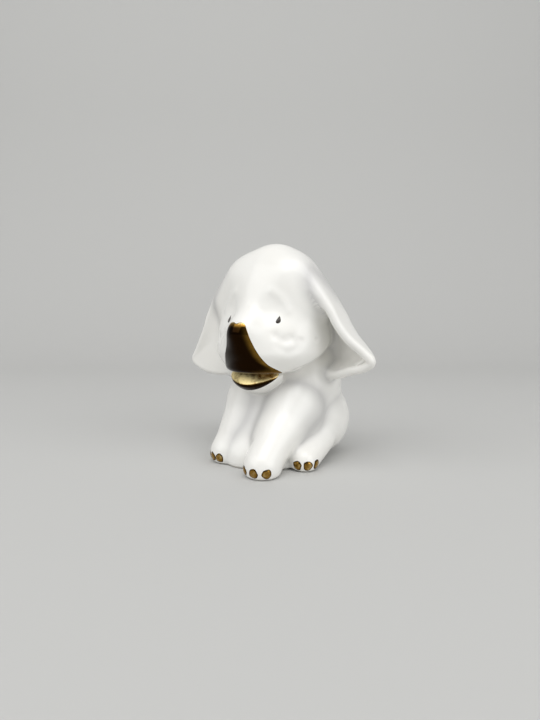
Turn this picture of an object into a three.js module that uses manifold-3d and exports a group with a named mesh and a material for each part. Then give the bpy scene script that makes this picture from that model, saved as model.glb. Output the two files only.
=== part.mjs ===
// A seated elephant calf in glazed porcelain, about as tall as an egg cup.
// The body and head are hollow slip castings. Ears, trunk, lip, legs and tail are luted on to them,
// and the gold lustre, the eyes and the toenails are fired on last.
// Millimetres, +Z up. The calf faces -Y and its left side is +X. The origin lies on the resting
// plane, under the middle of the overall box.

import * as THREE from 'three';
import { mergeVertices } from 'three/addons/utils/BufferGeometryUtils.js';
import Module from 'manifold-3d';

const wasm = await Module();
wasm.setup();

// Fits and walls
const GAP = 0.3;
const WALL = 3;
const VENT = { at: [0, 9], radius: 3.5 };
const NECK_PASSAGE = { at: [0, 2.5], radius: 5 };

// Body: an egg-shaped torso, a broad seat that gives the flat base, and a chest under the chin
const TORSO = { centre: [0, 9, 23], radii: [18, 18, 22] };
const SEAT = { centre: [0, 8, 10], radii: [17.5, 17.5, 14] };
const CHEST = { centre: [0, -2, 22], radii: [14, 11, 13] };
const BODY_BLEND = 6;

// Head: a domed skull, two full cheeks and the lower face that carries trunk and lip
const SKULL = { centre: [0, -2, 54], radii: [17, 15, 21] };
const CHEEK = { side: 9.2, forward: -4, height: 45, radii: [10.8, 10.5, 12] };
const FACE = { centre: [0, -4.5, 41], radii: [13, 12, 11] };
const HEAD_BLEND = 6;

// Ears: cupped flaps. The rim of an ear, from inside the head over the top to the tip and back:
// out from the skull's side, forward of the ear's hollow, and height.
const EAR_RIM = [
  [-5, 0, 49],
  [-5, 4, 71],
  [0.2, 6.5, 67.2],
  [7.7, 7.2, 59.1],
  [12.5, 8, 51],
  [16.7, 7, 42.9],
  [21.5, 4, 35.2],
  [20.2, 3.2, 32],
  [14, 2.6, 29.8],
  [7.5, 1, 28.2],
  [-3, 0, 30],
];
const EAR_HOLLOW = { out: 6.5, back: 1.8, height: 44 };
const EAR_HALF_THICKNESS = 1.7;
const EAR_TIP_LIFT = { left: 1.2, right: -1.5 };

// Trunk: a taper from the mouth up to a round tip in front of the brow, over the lower lip
const TRUNK_ROOT = { at: [0, -12, 36], radius: 10 };
const TRUNK_TIP = { at: [0, -20.5, 44.4], radius: 4.7 };
const LIP = { centre: [0, -10.5, 29.6], radii: [11, 8.7, 4.6] };

// Front legs: shoulder, wrist and foot. The left foot stands ahead of the right.
const SHOULDER = { side: 9, forward: -4, height: 23, radius: 8.5 };
const WRIST = { along: 0.5, inward: 1, radius: 5.2 };
const FRONT_FOOT = { left: [8.8, -22.8], right: [-10.5, -16], radius: 6, height: 3.4 };

// Hind legs: thigh, knee and foot. Each foot is set behind the front foot of its side:
// degrees outward of straight back, and the space left between the two feet.
const THIGH = { side: 12.8, forward: 9.5, height: 13, radii: [9.5, 11.5, 12.5] };
const KNEE = { side: 16.6, forward: 1.5, height: 8.5, radius: 5.4 };
const HIND_FOOT = { radius: 5, height: 3, outward: 33, space: { left: 4.5, right: 1.8 } };
const LEG_BLEND = 3;

// Tail: runs down the rump and curls to the calf's right. Along it: height, degrees turned from
// straight back, and how far its middle stands off the rump.
const TAIL_COURSE = [
  [21, 0, -2.5],
  [15, 3, 1],
  [9, 11, 1.3],
  [4.2, 26, 1.6],
];
const TAIL = { radius: 1.9, thinning: 0.4, tuftRadius: 1.2, tuftAt: 0.86, tuftLength: 0.1 };

// Fired-on decoration: skins and dabs let into shallow pockets. The gold leaves a white margin at
// each side of the trunk's root and tip.
const GOLD_THICKNESS = 0.4;
const GOLD_TOP = { height: 50, margin: 1.3 };
const GOLD_MIDDLE = { height: 39, halfWidth: 6 };
const GOLD_CORNER = { height: 31.5, margin: 1, depth: 1.5 };
const GOLD_CHIN_HEIGHT = 25.4;
const GOLD_BACK = -11;
const NAIL = { halfWidth: 1.5, halfHeight: 1.6, halfDepth: 0.8, height: 2.1 };
const NAIL_FAN = [-40, 0, 40];
const FOOT_HEADING = { left_front: -2, right_front: -22, left_hind: 14, right_hind: -18 };
const EYE = { side: 9.6, height: 49.4, halfWidth: 0.9, halfHeight: 1.4, halfDepth: 0.7 };

// Facets around and along each kind of piece, and the fineness of the searches for a surface
const FACETS = {
  casting: [36, 22],
  hollow: [20, 12],
  limb: [20, 14],
  flap: [32, 12],
  dab: [10, 6],
  rod: [10, 14],
};
const REACH = 70;
const HALVINGS = 40;
const PROBE = 0.01;
const FAR = 100;

const SIDES = { left: 1, right: -1 };

// Finishes
function finish(colour, roughness, metalness) {
  return new THREE.MeshStandardMaterial({ color: colour, roughness, metalness });
}
const porcelain = () => finish(0xf2f2ef, 0.12, 0);
const gold = () => finish(0x9a7430, 0.18, 1);
const enamel = () => finish(0x2b1d18, 0.2, 0.3);

// The point part of the way from one point to another
function between(from, to, share) {
  return from.map((start, i) => THREE.MathUtils.lerp(start, to[i], share));
}

// Distance of a point from an ellipsoid, true to first order near its surface
function ellipsoid({ centre, radii }) {
  return (x, y, z) => {
    const u = (x - centre[0]) / radii[0];
    const v = (y - centre[1]) / radii[1];
    const w = (z - centre[2]) / radii[2];
    const level = Math.hypot(u, v, w);
    const slope = Math.hypot(u / radii[0], v / radii[1], w / radii[2]);
    return slope > 0 ? (level * (level - 1)) / slope : -Math.min(...radii);
  };
}

// Distance of a point from two balls and the cone that wraps them
function taper(from, fromRadius, to, toRadius) {
  const axis = new THREE.Vector3(...to).sub(new THREE.Vector3(...from));
  const length = axis.length();
  axis.normalize();
  const lean = (fromRadius - toRadius) / length;
  const rise = Math.sqrt(1 - lean * lean);
  return (x, y, z) => {
    const rel = new THREE.Vector3(x - from[0], y - from[1], z - from[2]);
    const along = rel.dot(axis);
    const across = Math.sqrt(Math.max(rel.lengthSq() - along * along, 0));
    const turned = along * rise - across * lean;
    if (turned <= 0) return Math.hypot(along, across) - fromRadius;
    if (turned >= length * rise) return Math.hypot(along - length, across) - toRadius;
    return across * rise + along * lean - fromRadius;
  };
}

// Joins shapes with a fillet of about the given width
function blend(width, ...fields) {
  return (x, y, z) => fields.map((field) => field(x, y, z)).reduce((a, b) => {
    const near = Math.max(width - Math.abs(a - b), 0) / width;
    return Math.min(a, b) - (near * near * width) / 4;
  });
}

// The point where a ray from inside a shape reaches its surface, or the surface grown by `grow`
function exitPoint(field, from, ray, grow = 0) {
  const at = new THREE.Vector3();
  let inside = 0;
  let outside = REACH;
  for (let step = 0; step < HALVINGS; step += 1) {
    const middle = (inside + outside) / 2;
    at.copy(from).addScaledVector(ray, middle);
    if (field(at.x, at.y, at.z) < grow) inside = middle;
    else outside = middle;
  }
  return at.copy(from).addScaledVector(ray, inside);
}

// The same point with the outward direction there, as the seat of something laid on the surface
function seatOn(field, from, ray) {
  const point = exitPoint(field, from, ray);
  const { x, y, z } = point;
  const normal = new THREE.Vector3(
    field(x + PROBE, y, z) - field(x - PROBE, y, z),
    field(x, y + PROBE, z) - field(x, y - PROBE, z),
    field(x, y, z + PROBE) - field(x, y, z - PROBE),
  ).normalize();
  return { point, normal };
}

// A closed geometry as a solid that can be joined and cut
function solid(geometry) {
  geometry.deleteAttribute('normal');
  geometry.deleteAttribute('uv');
  const merged = mergeVertices(geometry, 1e-4);
  return new wasm.Manifold(new wasm.Mesh({
    numProp: 3,
    vertProperties: new Float32Array(merged.getAttribute('position').array),
    triVerts: new Uint32Array(merged.index.array),
  }));
}

// A sphere's vertices pushed out from a point until they reach the shape's surface, grown by `grow`
function blob(field, middle, [around, rows], grow = 0) {
  const geometry = new THREE.SphereGeometry(1, around, rows).rotateX(Math.PI / 2);
  const place = geometry.getAttribute('position');
  const from = new THREE.Vector3(...middle);
  const ray = new THREE.Vector3();
  for (let i = 0; i < place.count; i += 1) {
    ray.fromBufferAttribute(place, i).normalize();
    place.setXYZ(i, ...exitPoint(field, from, ray, grow).toArray());
  }
  return solid(geometry);
}

// A round hole's plug, upright, from one height to another
function plug({ at, radius }, low, high) {
  const geometry = new THREE.CylinderGeometry(radius, radius, high - low, FACETS.hollow[0]);
  geometry.rotateX(Math.PI / 2);
  geometry.translate(at[0], at[1], (low + high) / 2);
  return solid(geometry);
}

// Everything below a height
function under(height) {
  const geometry = new THREE.BoxGeometry(2 * FAR, 2 * FAR, FAR);
  geometry.translate(0, 0, height - FAR / 2);
  return solid(geometry);
}

// A flattened ball lying on a surface, with its height along the surface's steepest line
function dab({ point, normal }, size, grow = 0) {
  const across = new THREE.Vector3(0, 0, 1).cross(normal).normalize();
  const upward = normal.clone().cross(across);
  const geometry = new THREE.SphereGeometry(1, ...FACETS.dab);
  geometry.scale(size.halfWidth + grow, size.halfHeight + grow, size.halfDepth + grow);
  geometry.applyMatrix4(new THREE.Matrix4().makeBasis(across, upward, normal).setPosition(point));
  return solid(geometry);
}

// The mirror image of a geometry across the calf's middle plane, with its faces still pointing out
function mirrored(geometry) {
  const copy = geometry.clone().scale(-1, 1, 1);
  const order = copy.index;
  for (let i = 0; i < order.count; i += 3) {
    const first = order.getX(i);
    order.setX(i, order.getX(i + 1));
    order.setX(i + 1, first);
  }
  return copy;
}

// An ear: a disc mapped on to the rim, dished towards its hollow and given thickness
function earGeometry(side) {
  const headSide = SKULL.radii[0];
  const span = Math.max(...EAR_RIM.map(([out]) => out));
  const rim = new THREE.CatmullRomCurve3(EAR_RIM.map(([out, forward, height]) => {
    const lift = EAR_TIP_LIFT[side] * Math.max(out / span, 0);
    return new THREE.Vector3(headSide + out, EAR_HOLLOW.back - forward, height + lift);
  }), true, 'centripetal');
  const hub = new THREE.Vector3(headSide + EAR_HOLLOW.out, EAR_HOLLOW.back, EAR_HOLLOW.height);
  const geometry = new THREE.SphereGeometry(1, ...FACETS.flap);
  const place = geometry.getAttribute('position');
  const turn = geometry.getAttribute('uv');
  for (let i = 0; i < place.count; i += 1) {
    const face = place.getY(i);
    const out = Math.sqrt(Math.max(1 - face * face, 0));
    const edge = rim.getPointAt(THREE.MathUtils.euclideanModulo(turn.getX(i), 1)).sub(hub);
    const thick = Math.sign(face) * EAR_HALF_THICKNESS * Math.sqrt(Math.max(1 - out ** 4, 0));
    place.setXYZ(i, hub.x + edge.x * out, hub.y + edge.y * out * out + thick, hub.z + edge.z * out);
  }
  return side === 'left' ? geometry : mirrored(geometry);
}

// The tail: a turned profile, thinning to a tuft at the end, bent along its course on the rump
function tailGeometry(rump) {
  const course = new THREE.CatmullRomCurve3(TAIL_COURSE.map(([height, turned, standOff]) => {
    const turn = THREE.MathUtils.degToRad(turned);
    const ray = new THREE.Vector3(-Math.sin(turn), Math.cos(turn), 0);
    const { point } = seatOn(rump, new THREE.Vector3(0, TORSO.centre[1], height), ray);
    return point.addScaledVector(ray, standOff);
  }));
  const steps = FACETS.rod[1];
  const profile = [];
  for (let i = steps; i >= 0; i -= 1) {
    const t = i / steps;
    const rounding = Math.sqrt(Math.max(1 - (2 * t - 1) ** 8, 0));
    const tuft = TAIL.tuftRadius * Math.exp(-(((t - TAIL.tuftAt) / TAIL.tuftLength) ** 2));
    profile.push(new THREE.Vector2(rounding * (TAIL.radius * (1 - TAIL.thinning * t) + tuft), t));
  }
  const geometry = new THREE.LatheGeometry(profile, FACETS.rod[0]);
  const place = geometry.getAttribute('position');
  for (let i = 0; i < place.count; i += 1) {
    const t = THREE.MathUtils.clamp(place.getY(i), 0, 1);
    const along = course.getTangentAt(t);
    const across = new THREE.Vector3(1, 0, 0).addScaledVector(along, -along.x).normalize();
    const outward = along.clone().cross(across);
    const at = course.getPointAt(t);
    at.addScaledVector(across, place.getX(i)).addScaledVector(outward, place.getZ(i));
    place.setXYZ(i, at.x, at.y, at.z);
  }
  return geometry;
}

// The upright prism, open to the front, in which the gold lies on the trunk or on the lip
function goldPrism(points, grow) {
  const shape = new THREE.Shape(points.map(([x, z]) => new THREE.Vector2(x, z)));
  const geometry = new THREE.ExtrudeGeometry(shape, { depth: FAR, bevelEnabled: false });
  geometry.rotateX(Math.PI / 2);
  geometry.translate(0, GOLD_BACK + grow, 0);
  return solid(geometry);
}

function trunkGoldOutline(grow) {
  const corner = TRUNK_ROOT.radius - GOLD_CORNER.margin + grow;
  const middle = GOLD_MIDDLE.halfWidth + grow;
  const top = TRUNK_TIP.radius - GOLD_TOP.margin + grow;
  return [
    [-corner, GOLD_CORNER.height - grow],
    [corner, GOLD_CORNER.height - grow],
    [middle, GOLD_MIDDLE.height],
    [top, GOLD_TOP.height + grow],
    [-top, GOLD_TOP.height + grow],
    [-middle, GOLD_MIDDLE.height],
  ];
}

function lipGoldOutline(grow) {
  const corner = TRUNK_ROOT.radius - GOLD_CORNER.margin + grow;
  const cornerLow = GOLD_CORNER.height - GOLD_CORNER.depth - grow;
  return [
    [-corner, GOLD_CORNER.height + grow],
    [-corner, cornerLow],
    [0, GOLD_CHIN_HEIGHT - grow],
    [corner, cornerLow],
    [corner, GOLD_CORNER.height + grow],
  ];
}

// Shapes of the porcelain pieces
const bodyField = blend(BODY_BLEND, ellipsoid(TORSO), ellipsoid(SEAT), ellipsoid(CHEST));
const cheekFields = Object.values(SIDES).map((sign) => ellipsoid({
  centre: [sign * CHEEK.side, CHEEK.forward, CHEEK.height],
  radii: CHEEK.radii,
}));
const headField = blend(HEAD_BLEND, ellipsoid(SKULL), ...cheekFields, ellipsoid(FACE));
const trunkField = taper(TRUNK_ROOT.at, TRUNK_ROOT.radius, TRUNK_TIP.at, TRUNK_TIP.radius);
const lipField = ellipsoid(LIP);

// A leg's shape, its foot's place and a point well inside it
function frontLeg(side) {
  const foot = [...FRONT_FOOT[side], FRONT_FOOT.height];
  const top = [SIDES[side] * SHOULDER.side, SHOULDER.forward, SHOULDER.height];
  const wrist = between(top, foot, WRIST.along);
  wrist[0] -= SIDES[side] * WRIST.inward;
  const upper = taper(top, SHOULDER.radius, wrist, WRIST.radius);
  const lower = taper(wrist, WRIST.radius, foot, FRONT_FOOT.radius);
  return { field: blend(LEG_BLEND, upper, lower), foot: FRONT_FOOT[side], middle: wrist };
}

function hindLeg(side) {
  const sign = SIDES[side];
  const turn = THREE.MathUtils.degToRad(HIND_FOOT.outward);
  const apart = FRONT_FOOT.radius + HIND_FOOT.radius + HIND_FOOT.space[side];
  const [x, y] = FRONT_FOOT[side];
  const foot = [x + sign * apart * Math.sin(turn), y + apart * Math.cos(turn)];
  const thigh = { centre: [sign * THIGH.side, THIGH.forward, THIGH.height], radii: THIGH.radii };
  const knee = [sign * KNEE.side, KNEE.forward, KNEE.height];
  const shank = taper(knee, KNEE.radius, [...foot, HIND_FOOT.height], HIND_FOOT.radius);
  return { field: blend(LEG_BLEND, ellipsoid(thigh), shank), foot, middle: knee };
}

const bodyMiddle = between(TORSO.centre, CHEST.centre, 0.5);
const headMiddle = between(SKULL.centre, FACE.centre, 0.5);
const trunkMiddle = between(TRUNK_ROOT.at, TRUNK_TIP.at, 0.5);

// What neighbours are cut with: each shape grown by the clearance
const bodyRoom = blob(bodyField, bodyMiddle, FACETS.casting, GAP);
const headRoom = blob(headField, headMiddle, FACETS.casting, GAP);
const lipRoom = blob(lipField, LIP.centre, FACETS.limb, GAP);
const table = under(0);

const pieces = new Map();
function keep(name, shape, material) {
  pieces.set(name, { shape, material });
}

// A gold skin is kept as a piece, and the porcelain with the bed for it is given back
function gild(name, shape, field, middle, outline) {
  const skin = blob(field, middle, FACETS.limb, -GOLD_THICKNESS);
  const bed = blob(field, middle, FACETS.limb, -GOLD_THICKNESS - GAP);
  keep(`${name}_gold`, shape.intersect(goldPrism(outline(0), 0)).subtract(skin), gold());
  return shape.subtract(goldPrism(outline(GAP), GAP).subtract(bed));
}

// Body casting: hollow, flat underneath, with a vent in the base and an air passage to the head
const bodyHollow = blob(bodyField, bodyMiddle, FACETS.hollow, -WALL).subtract(under(WALL));
const bodyTop = TORSO.centre[2] + TORSO.radii[2];
const body = blob(bodyField, bodyMiddle, FACETS.casting)
  .subtract(table)
  .subtract(bodyHollow)
  .subtract(plug(VENT, -WALL, 2 * WALL))
  .subtract(plug(NECK_PASSAGE, bodyTop - 3 * WALL, bodyTop + WALL));
keep('body_casting', body, porcelain());

// Head casting: hollow, and open underneath where it sits over the body's shoulders, with the eyes
let head = blob(headField, headMiddle, FACETS.casting)
  .subtract(blob(headField, headMiddle, FACETS.hollow, -WALL))
  .subtract(bodyRoom);
for (const [side, sign] of Object.entries(SIDES)) {
  const from = new THREE.Vector3(sign * EYE.side, SKULL.centre[1], EYE.height);
  const seat = seatOn(headField, from, new THREE.Vector3(0, -1, 0));
  keep(`${side}_eye`, dab(seat, EYE), enamel());
  head = head.subtract(dab(seat, EYE, GAP));
}
keep('head_casting', head, porcelain());

// Trunk and lower lip, each cut to the face behind it, and their gold
const trunk = blob(trunkField, trunkMiddle, FACETS.limb).subtract(headRoom).subtract(lipRoom);
const lip = blob(lipField, LIP.centre, FACETS.limb).subtract(headRoom).subtract(bodyRoom);
keep('trunk', gild('trunk', trunk, trunkField, trunkMiddle, trunkGoldOutline), porcelain());
keep('lower_lip', gild('lower_lip', lip, lipField, LIP.centre, lipGoldOutline), porcelain());

// Ears
for (const side of Object.keys(SIDES)) {
  keep(`${side}_ear`, solid(earGeometry(side)).subtract(headRoom).subtract(bodyRoom), porcelain());
}

// Legs with their nails. Each is cut to what it is luted on to, the hind legs to the front legs too.
function keepLeg(name, leg, cutters) {
  let shape = blob(leg.field, leg.middle, FACETS.limb).subtract(table);
  for (const cutter of cutters) shape = shape.subtract(cutter);
  NAIL_FAN.forEach((spread, i) => {
    const heading = THREE.MathUtils.degToRad(FOOT_HEADING[name] + spread);
    const ray = new THREE.Vector3(Math.sin(heading), -Math.cos(heading), 0);
    const seat = seatOn(leg.field, new THREE.Vector3(...leg.foot, NAIL.height), ray);
    keep(`${name}_nail_${i + 1}`, dab(seat, NAIL), gold());
    shape = shape.subtract(dab(seat, NAIL, GAP));
  });
  keep(`${name}_leg`, shape, porcelain());
}

// Legs side by side, and the tail, which is cut to the rump and to both hind legs
let tail = solid(tailGeometry(bodyField)).subtract(bodyRoom).subtract(table);
for (const side of Object.keys(SIDES)) {
  const front = frontLeg(side);
  const hind = hindLeg(side);
  keepLeg(`${side}_front`, front, [bodyRoom, headRoom, lipRoom]);
  keepLeg(`${side}_hind`, hind, [bodyRoom, headRoom, blob(front.field, front.middle, FACETS.limb, GAP)]);
  tail = tail.subtract(blob(hind.field, hind.middle, FACETS.limb, GAP));
}
keep('tail', tail, porcelain());

// The finished meshes, moved together so that the origin is under the middle of the overall box
const elephant = new THREE.Group();
for (const [name, { shape, material }] of pieces) {
  const made = shape.getMesh();
  const geometry = new THREE.BufferGeometry();
  geometry.setAttribute('position', new THREE.BufferAttribute(new Float32Array(made.vertProperties), 3));
  geometry.setIndex(new THREE.BufferAttribute(new Uint32Array(made.triVerts), 1));
  geometry.computeVertexNormals();
  const mesh = new THREE.Mesh(geometry, material);
  mesh.name = name;
  elephant.add(mesh);
}
const box = new THREE.Box3().setFromObject(elephant);
const middle = box.getCenter(new THREE.Vector3());
elephant.position.set(-middle.x, -middle.y, -box.min.z);

const figurine = new THREE.Group();
figurine.add(elephant);

export default figurine;
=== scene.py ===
"""A seated elephant calf in glazed porcelain with gold lustre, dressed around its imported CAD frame.

All the porcelain pieces share one glazed skin. It is the zero level of a field: each piece adds its
own simple shapes, and fillets join them as the glaze and the luted joints do. Every piece follows
that skin over its own ground and dips under its neighbours beyond the seam. Lengths are in
millimetres until a surface becomes a mesh. X runs to the calf's left, Y to its back and Z up.
"""

import logging
from dataclasses import dataclass, field
from enum import Enum
from functools import partial
from typing import Any, Callable, Optional, Sequence, Union

import bpy
import numpy as np
from mathutils import Matrix


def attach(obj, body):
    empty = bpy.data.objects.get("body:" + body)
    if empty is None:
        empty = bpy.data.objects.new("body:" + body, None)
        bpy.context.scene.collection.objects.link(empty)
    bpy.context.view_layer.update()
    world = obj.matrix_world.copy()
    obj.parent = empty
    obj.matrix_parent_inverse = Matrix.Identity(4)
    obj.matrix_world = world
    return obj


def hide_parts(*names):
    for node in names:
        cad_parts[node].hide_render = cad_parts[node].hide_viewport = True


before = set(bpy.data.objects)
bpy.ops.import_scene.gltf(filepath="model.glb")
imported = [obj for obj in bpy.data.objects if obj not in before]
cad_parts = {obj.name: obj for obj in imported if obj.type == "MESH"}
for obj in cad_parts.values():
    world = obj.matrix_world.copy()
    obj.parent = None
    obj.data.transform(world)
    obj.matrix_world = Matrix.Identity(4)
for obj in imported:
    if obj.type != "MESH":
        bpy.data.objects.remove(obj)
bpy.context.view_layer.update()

LOG = logging.getLogger("calf")

Array = np.ndarray
Field = Callable[[Array], Array]
Point = tuple[float, float, float]
Pair = tuple[float, float]
Rays = tuple[Array, Array]
Outline = Callable[[Array, Array], Rays]
Shade = Callable[[Array, Array, Array], Array]
Width = Union[float, Array]

MM = 0.001
ROOT = "root"

# A length that no ray stays inside a casting for, and how often that length is halved
CASTING_REACH = 60.0
HALVINGS = 18
# How far a piece sinks under its neighbours a millimetre past the seam
SINK_RATE = 0.5
# Steps for a field's slope: one for true normals, and a wide one for a smooth gloss
PROBE = 0.02
SHADING_PROBE = 0.4
TINY = 1e-9


class Slot(Enum):
    """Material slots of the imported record."""

    PORCELAIN = "porcelain"
    GOLD = "gold_lustre"
    ENAMEL = "eye_enamel"


class Side(Enum):
    """The calf's own sides, with the sign of X there."""

    LEFT = 1
    RIGHT = -1

    @property
    def word(self) -> str:
        """The side's name as the CAD nodes spell it."""
        return self.name.lower()

    def place(self, point: Point) -> Point:
        """A point of the calf's left, brought to this side."""
        return (self.value * point[0], point[1], point[2])

    def pick(self, pair: tuple[Any, Any]) -> Any:
        """This side's member of a pair that gives the left first."""
        return pair[0] if self is Side.LEFT else pair[1]


# Vectors, fillets and paths


def length(vectors: Array) -> Array:
    """Length of each vector along the last axis."""
    return np.sqrt(np.einsum("...i,...i->...", vectors, vectors))


def unit(vectors: Array) -> Array:
    """Each vector along the last axis, brought to a length of one."""
    return vectors / np.maximum(length(vectors), TINY)[..., None]


def blend(first: Array, second: Array, width: Width) -> Array:
    """Joins two distances with a fillet.

    The lesser of the two, less a quarter of the width times the square of how nearly they agree,
    where agreement falls from one at equality to nothing at a difference of the width.

    Args:
        first: distances from the first shape.
        second: distances from the second shape.
        width: the fillet's width.

    Returns:
        The joined distances.
    """
    near = np.maximum(width - np.abs(first - second), 0.0) / width
    return np.minimum(first, second) - near**2 * width / 4


def carve(first: Array, second: Array, width: Width) -> Array:
    """Keeps what lies in both shapes, with the edge between them rounded as blend rounds a valley."""
    return -blend(-first, -second, width)


def settle(own: Array, others: Array, width: Width) -> Array:
    """Joins a piece to its neighbours by a fillet, sunk by a square where they lie further out."""
    return blend(own, others, width) + SINK_RATE * np.maximum(own - others, 0.0) ** 2


def smooth_step(value: Array, low: float, high: float) -> Array:
    """Rises from 0 at low to 1 at high as three squares less two cubes."""
    share = np.clip((value - low) / (high - low), 0.0, 1.0)
    return share**2 * (3 - 2 * share)


def run_through(points: Sequence[Sequence[float]], at: Array, closed: bool) -> Array:
    """Points on a smooth path through given points.

    Between neighbours the path is the cubic whose slope at each point is half the step between the
    points on either side. An open path repeats its end points.

    Args:
        points: the points the path runs through.
        at: places along the path, from 0 to 1.
        closed: whether the path returns to its start.

    Returns:
        One point for each place.
    """
    knots = np.asarray(points, float)
    count = len(knots)
    spans = count if closed else count - 1
    place = np.clip(at, 0.0, 1.0) * spans
    first = np.minimum(np.floor(place).astype(int), spans - 1)
    step = (place - first)[..., None]
    around = [first + offset for offset in (-1, 0, 1, 2)]
    if closed:
        before, start, end, after = (knots[index % count] for index in around)
    else:
        before, start, end, after = (knots[np.clip(index, 0, count - 1)] for index in around)
    slope_in = (end - before) / 2
    slope_out = (after - start) / 2
    bend = 3 * (end - start) - 2 * slope_in - slope_out
    ease = slope_in + slope_out - 2 * (end - start)
    return start + slope_in * step + bend * step**2 + ease * step**3


# Simple shapes, each with its distance


@dataclass(frozen=True)
class Ellipsoid:
    """An ellipsoid, given by its middle and by half its width, depth and height."""

    centre: Point
    radii: Point

    def distance(self, points: Array) -> Array:
        """Level times level less one, over the level's slope, which is true near the surface.

        Args:
            points: where to measure.

        Returns:
            The distances, negative inside.
        """
        scaled = (points - np.array(self.centre)) / np.array(self.radii)
        level = length(scaled)
        slope = length(scaled / np.array(self.radii))
        return level * (level - 1) / np.maximum(slope, TINY)

    def on(self, side: Side) -> "Ellipsoid":
        """The same ellipsoid, given for the left, on one of the calf's sides."""
        return Ellipsoid(side.place(self.centre), self.radii)


@dataclass(frozen=True)
class RoundCone:
    """Two balls and the cone that wraps them."""

    start: Point
    start_radius: float
    end: Point
    end_radius: float

    def distance(self, points: Array) -> Array:
        """Distance from the near ball, from the far ball, or from the cone's side between them.

        Args:
            points: where to measure.

        Returns:
            The distances, negative inside.
        """
        span_vector = np.array(self.end) - np.array(self.start)
        span = float(length(span_vector))
        lean = (self.start_radius - self.end_radius) / span
        rise = np.sqrt(1 - lean**2)
        from_start = points - np.array(self.start)
        along = from_start @ (span_vector / span)
        across = np.sqrt(np.maximum((from_start**2).sum(-1) - along**2, 0.0))
        turned = along * rise - across * lean
        side = across * rise + along * lean - self.start_radius
        near = np.hypot(along, across) - self.start_radius
        far = np.hypot(along - span, across) - self.end_radius
        return np.where(turned <= 0, near, np.where(turned >= span * rise, far, side))

    def on(self, side: Side) -> "RoundCone":
        """The same cone, given for the left, on one of the calf's sides."""
        return RoundCone(side.place(self.start), self.start_radius, side.place(self.end), self.end_radius)


@dataclass(frozen=True)
class Ridge:
    """A soft ridge, or a groove where its height is negative, modelled along a short path.

    Attributes:
        path: the points it runs through, on the calf's left.
        height: how far it stands above the surface.
        width: how far from its line it falls to a third.
    """

    path: tuple[Point, ...]
    height: float
    width: float

    def lift(self, points: Array) -> Array:
        """The height times the bell curve of the distance from the path, on both sides of the calf.

        Args:
            points: where to measure.

        Returns:
            How far the surface is raised.
        """
        folded = points.copy()
        folded[..., 0] = np.abs(points[..., 0])
        knots = run_through(self.path, np.linspace(0, 1, 4 * len(self.path)), closed=False)
        nearest = np.full(points.shape[:-1], np.inf)
        for start, end in zip(knots[:-1], knots[1:]):
            step = end - start
            share = np.clip((folded - start) @ step / (step @ step), 0.0, 1.0)
            nearest = np.minimum(nearest, length(folded - start - share[..., None] * step))
        return self.height * np.exp(-((nearest / self.width) ** 2))


@dataclass(frozen=True)
class Lattice:
    """Distances from a thick sheet, kept on a lattice and read back between its points.

    Attributes:
        low: the lattice's lowest corner.
        pitch: spacing of its points.
        values: the distances there.
    """

    low: Array
    pitch: float
    values: Array

    @classmethod
    def around(cls, sheet: Array, half_thickness: float, pitch: float, margin: float) -> "Lattice":
        """Measures from each lattice point to the nearest point of a sheet, less the half thickness.

        Args:
            sheet: points spread over the sheet's middle, one row each.
            half_thickness: how far the sheet's faces lie from its middle.
            pitch: spacing of the lattice.
            margin: how far the lattice reaches beyond the sheet.

        Returns:
            The lattice.
        """
        low = sheet.min(0) - margin
        counts = np.ceil((sheet.max(0) + margin - low) / pitch).astype(int) + 1
        axes = [low[i] + pitch * np.arange(counts[i]) for i in range(3)]
        across, up = np.meshgrid(axes[1], axes[2], indexing="ij")
        values = np.empty(counts)
        for index, x in enumerate(axes[0]):
            slab = np.stack([np.full_like(across, x), across, up], -1).reshape(-1, 3)
            squares = (slab**2).sum(1)[:, None] - 2 * slab @ sheet.T + (sheet**2).sum(1)[None]
            nearest = np.sqrt(np.maximum(squares.min(1), 0.0))
            values[index] = nearest.reshape(across.shape) - half_thickness
        return cls(low, pitch, values)

    def distance(self, points: Array) -> Array:
        """The eight lattice values round each point, weighted by how near they are.

        Args:
            points: where to measure.

        Returns:
            The distances, negative inside.
        """
        place = (points - self.low) / self.pitch
        held = np.clip(place, 0.0, np.array(self.values.shape) - 1.001)
        corner = np.floor(held).astype(int)
        share = held - corner
        total = np.zeros(points.shape[:-1])
        for offset in np.ndindex(2, 2, 2):
            weight = np.prod(np.where(offset, share, 1 - share), axis=-1)
            total += weight * self.values[tuple(np.moveaxis(corner + offset, -1, 0))]
        return total + length(place - held) * self.pitch


# The common skin


def reach(level: Field, origins: Array, directions: Array, far: float) -> Array:
    """How far each ray runs inside a shape, by halving whole arrays of intervals.

    Args:
        level: the shape's field, negative inside.
        origins: where the rays start.
        directions: their unit directions.
        far: a length that no ray stays inside for.

    Returns:
        The lengths, nothing where a ray starts outside.
    """
    low = np.zeros(origins.shape[:-1])
    high = np.full(origins.shape[:-1], far)
    for _ in range(HALVINGS):
        middle = (low + high) / 2
        inside = level(origins + directions * middle[..., None]) < 0
        low = np.where(inside, middle, low)
        high = np.where(inside, high, middle)
    return low


def outward(level: Field, points: Array, probe: float = PROBE) -> Array:
    """Unit direction in which a field rises, from its differences along the three axes."""
    rises = [level(points + probe * axis) - level(points - probe * axis) for axis in np.eye(3)]
    return unit(np.stack(rises, -1))


@dataclass(frozen=True)
class Member:
    """One porcelain piece's part in the common skin.

    Attributes:
        node: the CAD node it stands for.
        distance: its own distance.
        fillet: the width of its joint to the members before it, or a field that gives it.
    """

    node: str
    distance: Field
    fillet: Union[float, Field] = 1.0

    def width(self, points: Array) -> Width:
        """The joint's width at each point."""
        return self.fillet(points) if callable(self.fillet) else self.fillet


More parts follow.
